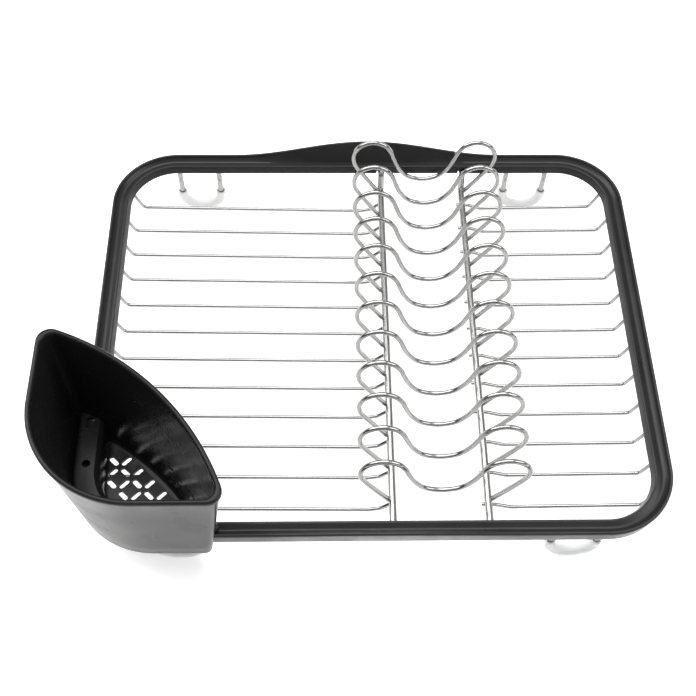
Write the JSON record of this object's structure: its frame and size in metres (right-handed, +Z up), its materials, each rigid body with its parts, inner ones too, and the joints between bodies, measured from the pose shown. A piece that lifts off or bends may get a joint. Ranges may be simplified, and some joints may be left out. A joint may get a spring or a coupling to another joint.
{
  "type": "dish drying rack",
  "caption": "Rectangular dish drying rack: black plastic rim, steel wire floor, looped wire plate dividers, wire legs with foot caps and a lift-off corner cutlery caddy.",
  "frame": {"origin": "on the resting surface, under the middle of the whole object's bounding box", "axes": "+X along the long sides, to the right when the caddy is at the front left corner; +Y towards the back; +Z up"},
  "size_m": [0.3766, 0.317, 0.1283],
  "materials": {
    "rim_plastic": "satin moulded plastic, charcoal black",
    "caddy_plastic": "smooth glossy moulded plastic, near black",
    "steel": "satin plated steel wire",
    "cap_plastic": "milky translucent soft plastic"
  },
  "bodies": {
    "rack": {"rim": "rim_plastic", "perimeter_frame_wire": "steel", "left_rail": "steel", "right_rail": "steel", "floor_wire_left_01": "steel", "floor_wire_left_02": "steel", "floor_wire_left_03": "steel", "floor_wire_left_04": "steel", "floor_wire_left_05": "steel", "floor_wire_left_06": "steel", "floor_wire_left_07": "steel", "floor_wire_left_08": "steel", "floor_wire_left_09": "steel", "floor_wire_left_10": "steel", "floor_wire_left_11": "steel", "floor_wire_left_12": "steel", "floor_wire_right_01": "steel", "floor_wire_right_02": "steel", "floor_wire_right_03": "steel", "floor_wire_right_04": "steel", "floor_wire_right_05": "steel", "floor_wire_right_06": "steel", "floor_wire_right_07": "steel", "floor_wire_right_08": "steel", "floor_wire_right_09": "steel", "floor_wire_right_10": "steel", "floor_wire_right_11": "steel", "floor_wire_right_12": "steel", "plate_divider_01": "steel", "plate_divider_02": "steel", "plate_divider_03": "steel", "plate_divider_04": "steel", "plate_divider_05": "steel", "plate_divider_06": "steel", "plate_divider_07": "steel", "plate_divider_08": "steel", "plate_divider_09": "steel", "plate_divider_10": "steel", "plate_divider_11": "steel", "plate_divider_12": "steel", "leg_wire_front_left": "steel", "leg_wire_front_right": "steel", "leg_wire_back_left": "steel", "leg_wire_back_right": "steel", "foot_cap_front_left": "cap_plastic", "foot_cap_front_right": "cap_plastic", "foot_cap_back_left": "cap_plastic", "foot_cap_back_right": "cap_plastic"},
    "caddy": {"cutlery_caddy": "caddy_plastic"}
  },
  "joints": [
    {"name": "caddy_lift", "type": "slide", "parent": "rack", "child": "caddy", "axis": [0, 0, 1], "range_m": [0, 0.06]}
  ]
}
